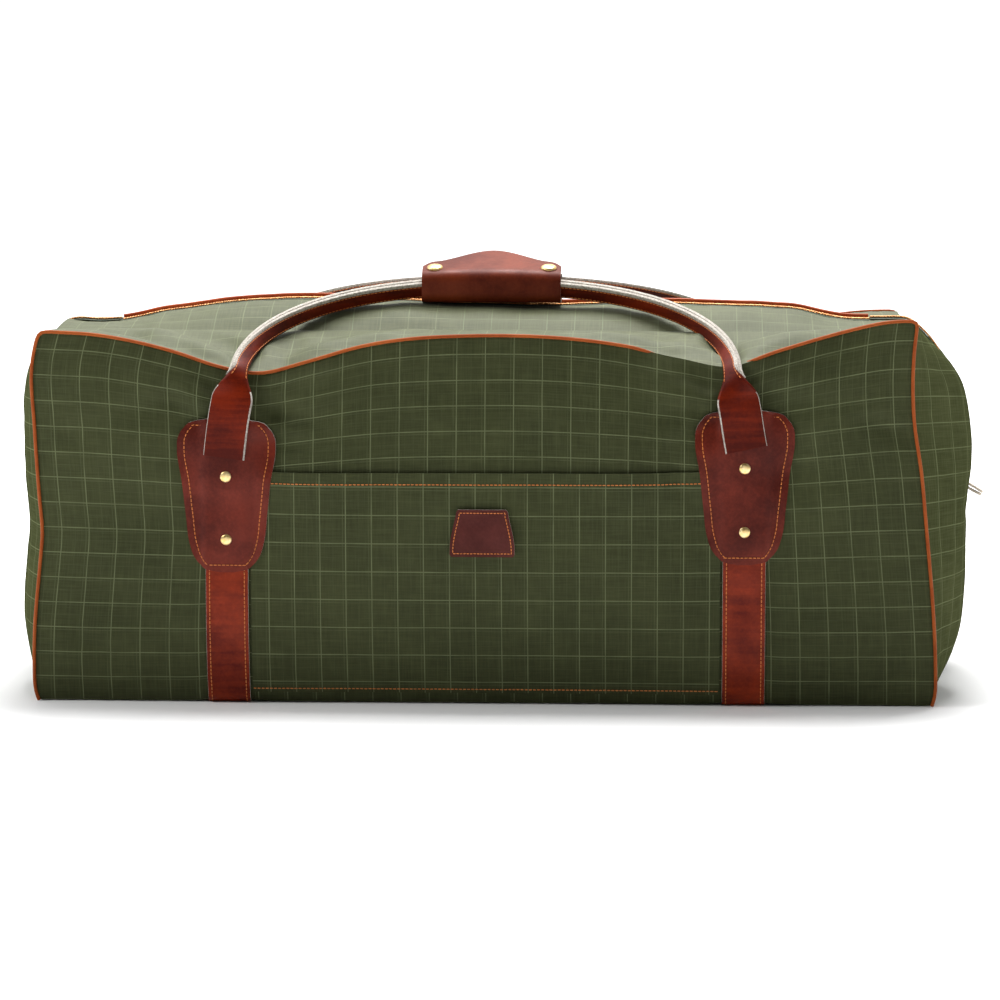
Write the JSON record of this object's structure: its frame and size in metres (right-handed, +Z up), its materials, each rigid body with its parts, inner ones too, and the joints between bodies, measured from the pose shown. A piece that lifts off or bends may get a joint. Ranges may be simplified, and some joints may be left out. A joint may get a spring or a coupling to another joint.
{
  "type": "weekender bag",
  "caption": "Soft rectangular canvas travel bag with leather piping, under-straps, rivetted handle patches, a front pocket, a top zip and two handles joined by a snap-shut leather grip.",
  "frame": {"origin": "centre of the bag's underside, on the surface it rests on", "axes": "+Z up; +X along the bag to its right, seen from the front; +Y from the front to the back"},
  "size_m": [0.7637, 0.3481, 0.3414],
  "materials": {
    "canvas": "waxed green canvas with a pale windowpane check",
    "board": "stiff fibre board",
    "piping": "orange tan leather cord",
    "strap_leather": "oiled red-brown bridle leather with raw pale edges",
    "patch_leather": "burgundy leather, orange stitching",
    "grip_leather": "glossy chestnut leather",
    "zip_tape": "dark green woven tape",
    "zip_metal": "copper-toned zip",
    "brass": "pale brass, lightly polished",
    "pull_leather": "pale raw leather tab"
  },
  "bodies": {
    "bag": {"front_panel": "canvas", "back_panel": "canvas", "bottom_panel": "canvas", "end_panel_left": "canvas", "end_panel_right": "canvas", "top_panel_front": "canvas", "top_panel_rear": "canvas", "top_corner_left": "canvas", "top_corner_right": "canvas", "pocket_panel": "canvas", "base_board": "board", "piping_front": "piping", "piping_back": "piping", "under_strap_left": "strap_leather", "chape_front_left": "patch_leather", "rivet_front_left_lower": "brass", "rivet_front_left_upper": "brass", "chape_back_left": "patch_leather", "rivet_back_left_lower": "brass", "rivet_back_left_upper": "brass", "zip_end_tape_left": "zip_tape", "zip_end_teeth_left": "zip_metal", "under_strap_right": "strap_leather", "chape_front_right": "patch_leather", "rivet_front_right_lower": "brass", "rivet_front_right_upper": "brass", "chape_back_right": "patch_leather", "rivet_back_right_lower": "brass", "rivet_back_right_upper": "brass", "zip_end_tape_right": "zip_tape", "zip_end_teeth_right": "zip_metal", "label_patch": "patch_leather"},
    "mouth_front": {"mouth_flap_front": "canvas", "zip_tape_front": "zip_tape", "zip_teeth_front": "zip_metal"},
    "mouth_rear": {"mouth_flap_rear": "canvas", "zip_tape_rear": "zip_tape", "zip_teeth_rear": "zip_metal", "zip_facing": "strap_leather"},
    "carry_handle_front": {"handle_front": "strap_leather", "grip_front": "grip_leather"},
    "carry_handle_rear": {"handle_rear": "strap_leather", "grip_rear": "grip_leather"},
    "snap_flap": {"grip_flap": "grip_leather", "snap_cap_left": "brass", "snap_cap_right": "brass"},
    "slider": {"zip_slider": "zip_metal"},
    "pull": {"zip_pull_link": "zip_metal", "zip_pull_tab": "pull_leather"}
  },
  "joints": [
    {"name": "handle_front_swing", "type": "hinge", "parent": "bag", "child": "carry_handle_front", "pos_m": [0, -0.1712, 0.195], "axis": [1, 0, 0], "range_deg": [0, 150]},
    {"name": "handle_rear_swing", "type": "hinge", "parent": "bag", "child": "carry_handle_rear", "pos_m": [0, 0.1712, 0.195], "axis": [-1, 0, 0], "range_deg": [0, 150]},
    {"name": "grip_flap_snap", "type": "hinge", "parent": "carry_handle_front", "child": "snap_flap", "pos_m": [0, -0.0249, 0.3258], "axis": [1, 0, 0], "range_deg": [0, 120], "deforming": ["grip_flap"]},
    {"name": "mouth_front_fold", "type": "hinge", "parent": "bag", "child": "mouth_front", "pos_m": [0, -0.06, 0.2835], "axis": [-1, 0, 0], "range_deg": [0, 75]},
    {"name": "mouth_rear_fold", "type": "hinge", "parent": "bag", "child": "mouth_rear", "pos_m": [0, 0.06, 0.2835], "axis": [1, 0, 0], "range_deg": [0, 75]},
    {"name": "zip_slider_travel", "type": "slide", "parent": "bag", "child": "slider", "axis": [0, 0, 1], "range_m": [0, 0.078]},
    {"name": "zip_pull_swing", "type": "hinge", "parent": "slider", "child": "pull", "pos_m": [0.3732, 0, 0.16], "axis": [0, 1, 0], "range_deg": [-110, 50]}
  ]
}
